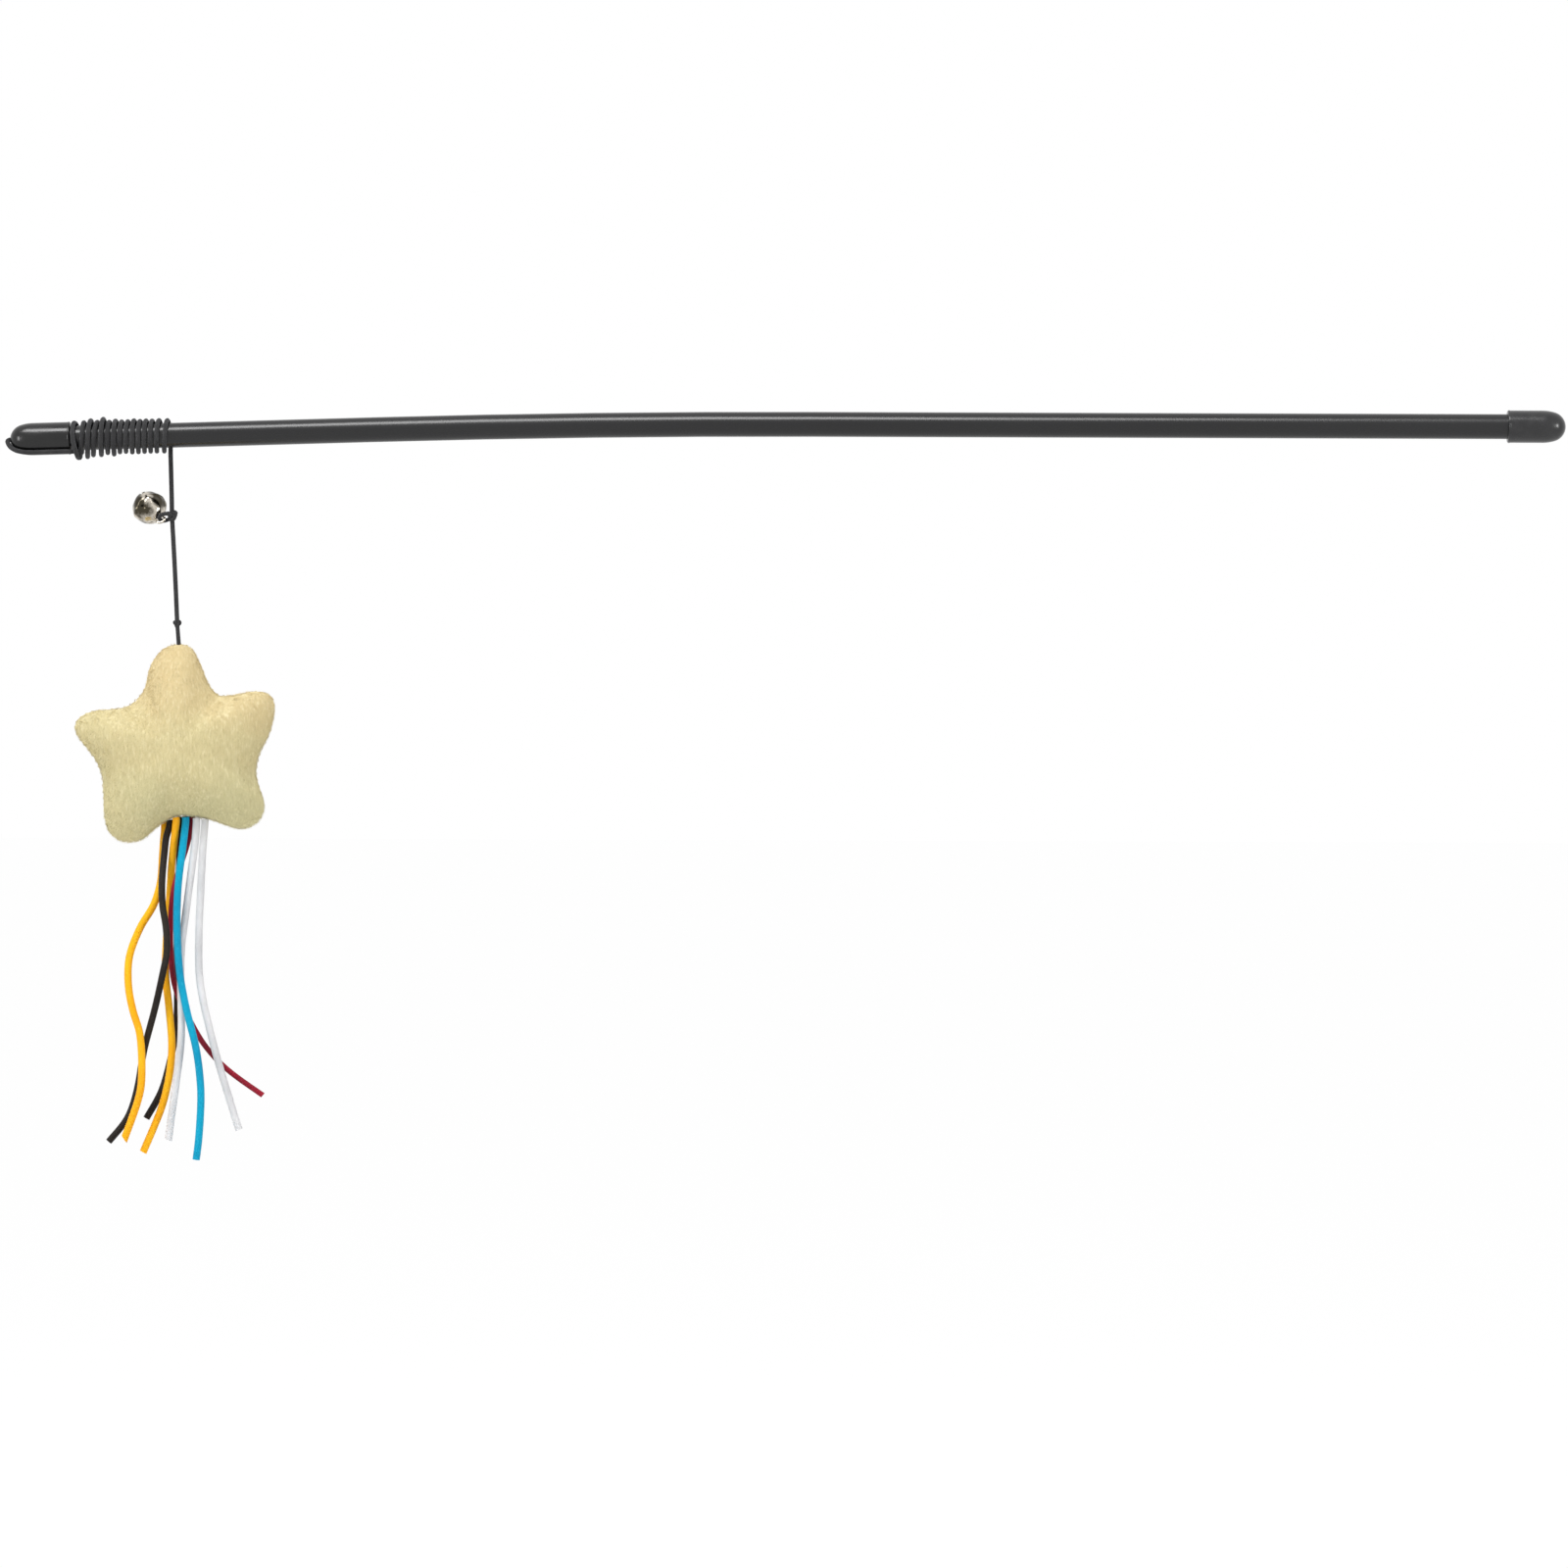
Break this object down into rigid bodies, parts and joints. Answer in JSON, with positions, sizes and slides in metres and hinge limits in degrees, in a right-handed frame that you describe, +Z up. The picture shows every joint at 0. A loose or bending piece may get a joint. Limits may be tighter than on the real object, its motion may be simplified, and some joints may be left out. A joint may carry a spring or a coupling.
{
  "type": "cat teaser wand",
  "caption": "Capped plastic rod with an elastic line wound round its tip, from which a jingle bell and a stuffed star with a tassel of coloured cords hang and swing.",
  "frame": {"origin": "on the rod's axis, in the middle of the butt cap's straight wall", "axes": "+X along the rod, out of the handle end; +Z up; the line hangs down at +Y of the rod, on the far side in the picture"},
  "size_m": [0.5005, 0.0225, 0.242],
  "materials": {
    "rod_plastic": "glossy charcoal plastic tube",
    "tip_vinyl": "glossy black vinyl",
    "butt_vinyl": "satin dark grey vinyl",
    "elastic": "matte dark grey braided elastic",
    "bell_plate": "nickel-plated sheet and wire",
    "pellet_steel": "plain steel",
    "plush": "short cream plush",
    "filling": "white polyester fibre",
    "yellow_cord": "satin golden yellow cord",
    "black_cord": "satin black cord",
    "blue_cord": "satin cyan blue cord",
    "red_cord": "satin crimson cord",
    "white_cord": "satin silver white cord"
  },
  "bodies": {
    "wand": {"rod": "rod_plastic", "tip_cap": "tip_vinyl", "butt_cap": "butt_vinyl", "anchor_knot": "elastic", "line_winding": "elastic"},
    "hanging_line": {"line_upper": "elastic", "bell_knot": "elastic", "bell_loop": "elastic"},
    "bell": {"bell_shell": "bell_plate", "bell_eye": "bell_plate"},
    "pellet": {"bell_pellet": "pellet_steel"},
    "lower_line": {"line_lower": "elastic", "star_knot": "elastic"},
    "star": {"star_loop": "elastic", "star_front": "plush", "star_back": "plush", "star_filling": "filling"},
    "tassel": {"yellow_strand_right": "yellow_cord", "red_strand": "red_cord", "white_strand_left": "white_cord"},
    "left_cords": {"yellow_strand_left": "yellow_cord", "black_strand_left": "black_cord"},
    "blue_cord": {"blue_strand": "blue_cord"},
    "white_cord": {"white_strand_right": "white_cord"},
    "black_cord": {"black_strand_rear": "black_cord"}
  },
  "joints": [
    {"name": "line_swing", "type": "hinge", "parent": "wand", "child": "hanging_line", "pos_m": [-0.43535, 0.00485, -0.00976], "axis": [0, 1, 0], "range_deg": [-60, 45]},
    {"name": "bell_swing", "type": "hinge", "parent": "hanging_line", "child": "bell", "pos_m": [-0.43885, 0.00486, -0.03073], "axis": [-0.167, -0.7154, 0.6785], "range_deg": [-20, 120]},
    {"name": "pellet_slide", "type": "slide", "parent": "bell", "child": "pellet", "axis": [0, 0, 1], "range_m": [0, 0.0068]},
    {"name": "lure_sway", "type": "hinge", "parent": "hanging_line", "child": "lower_line", "pos_m": [-0.43485, 0.00485, -0.02976], "axis": [1, 0, 0], "range_deg": [-80, 80]},
    {"name": "star_swing", "type": "hinge", "parent": "lower_line", "child": "star", "pos_m": [-0.43305, 0.00485, -0.06446], "axis": [0, 1, 0], "range_deg": [-60, 60]},
    {"name": "tassel_sway", "type": "hinge", "parent": "star", "child": "tassel", "pos_m": [-0.43275, 0.00485, -0.129], "axis": [1, 0, 0], "range_deg": [-25, 25]},
    {"name": "left_cords_sway", "type": "hinge", "parent": "tassel", "child": "left_cords", "pos_m": [-0.4353, 0.00524, -0.12949], "axis": [1, 0, 0], "range_deg": [-40, 0]},
    {"name": "blue_cord_sway", "type": "hinge", "parent": "tassel", "child": "blue_cord", "pos_m": [-0.43003, 0.00355, -0.1285], "axis": [1, 0, 0], "range_deg": [-40, 0]},
    {"name": "white_cord_sway", "type": "hinge", "parent": "tassel", "child": "white_cord", "pos_m": [-0.42387, 0.00355, -0.12921], "axis": [1, 0, 0], "range_deg": [-40, 0]},
    {"name": "black_cord_sway", "type": "hinge", "parent": "tassel", "child": "black_cord", "pos_m": [-0.4321, 0.00615, -0.12866], "axis": [1, 0, 0], "range_deg": [0, 40]}
  ]
}
